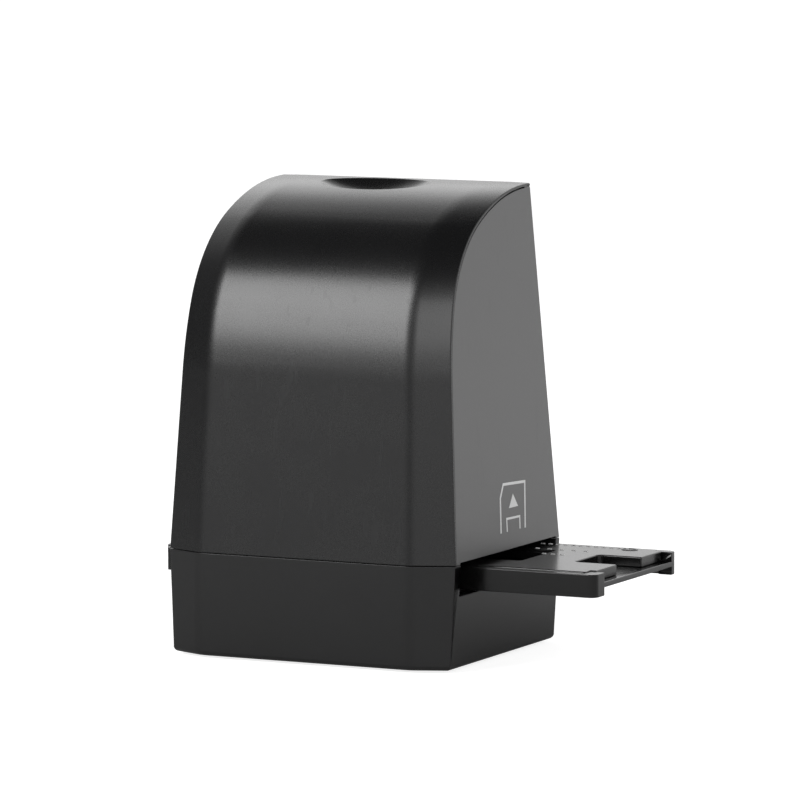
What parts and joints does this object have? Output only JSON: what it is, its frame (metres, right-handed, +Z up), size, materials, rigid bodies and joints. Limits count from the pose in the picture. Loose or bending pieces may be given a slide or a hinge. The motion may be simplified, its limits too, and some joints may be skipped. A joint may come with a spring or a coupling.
{
  "type": "film negative scanner",
  "caption": "Upright desktop film scanner with an arched front, a film holder that slides through a slot in its base and a scan button on top.",
  "frame": {"origin": "on the standing surface, under the middle of the housing's underside", "axes": "+X right along the film slot, +Y to the back, +Z up"},
  "size_m": [0.1495, 0.0817, 0.1451],
  "materials": {
    "cover_plastic": "satin black moulded plastic",
    "housing_plastic": "satin black moulded plastic",
    "panel_plastic": "satin black moulded plastic, printed mark",
    "holder_plastic": "glossy black moulded plastic",
    "inner_plastic": "matt black moulded plastic",
    "button_plastic": "satin dark grey plastic",
    "switch_plastic": "pale moulded plastic",
    "switch_body": "black moulded plastic",
    "pad_rubber": "matt black rubber",
    "screw_steel": "zinc plated steel",
    "spring_steel": "spring steel",
    "circuit_board": "green solder resist",
    "chip_black": "black epoxy",
    "connector_white": "natural nylon",
    "reflector_white": "white plastic",
    "diffuser_opal": "opal acrylic",
    "led_lens": "phosphor yellow",
    "barrel_metal": "black anodised",
    "lens_glass": "coated glass",
    "filter_glass": "tinted glass",
    "socket_metal": "tin plated steel",
    "ribbon_film": "amber film",
    "lead_jacket": "red jacket"
  },
  "bodies": {
    "housing": {"base_housing": "housing_plastic", "bottom_plate": "housing_plastic", "anti_slip_pad": "pad_rubber", "bottom_screws": "screw_steel", "front_cover": "cover_plastic", "cover_screws": "screw_steel", "side_panel_left": "panel_plastic", "side_panel_right": "panel_plastic", "rear_cover": "housing_plastic", "rear_screws": "screw_steel", "tact_switch": "switch_body", "button_board": "circuit_board", "gate_plate": "inner_plastic", "gate_screws": "screw_steel", "detent_spring": "spring_steel", "top_guide": "inner_plastic", "guide_screws": "screw_steel", "light_box": "reflector_white", "diffuser_plate": "diffuser_opal", "led_board": "circuit_board", "leds": "led_lens", "optics_frame": "inner_plastic", "frame_screws": "screw_steel", "light_tunnel": "inner_plastic", "lens_barrel": "barrel_metal", "lenses": "lens_glass", "lens_mount": "inner_plastic", "ir_filter": "filter_glass", "image_sensor": "chip_black", "sensor_board": "circuit_board", "sensor_screws": "screw_steel", "main_board": "circuit_board", "board_screws": "screw_steel", "board_chips": "chip_black", "board_connectors": "connector_white", "usb_socket": "socket_metal", "ribbon_cable": "ribbon_film", "lamp_lead": "lead_jacket", "button_lead": "lead_jacket", "button_spring": "spring_steel"},
    "film_holder": {"holder_tray": "holder_plastic", "holder_lid": "holder_plastic", "holder_hinge_pins": "screw_steel"},
    "scan_button": {"button_cap": "button_plastic", "switch_plunger": "switch_plastic"}
  },
  "joints": [
    {"name": "holder_slide", "type": "slide", "parent": "housing", "child": "film_holder", "axis": [1, 0, 0], "range_m": [-0.145, 0.11], "deforming": ["detent_spring"]},
    {"name": "button_press", "type": "slide", "parent": "housing", "child": "scan_button", "axis": [0, 0, -1], "range_m": [0, 0.0006], "stiffness_N_per_m": 900, "springref_m": -0.001, "deforming": ["button_spring"]}
  ]
}
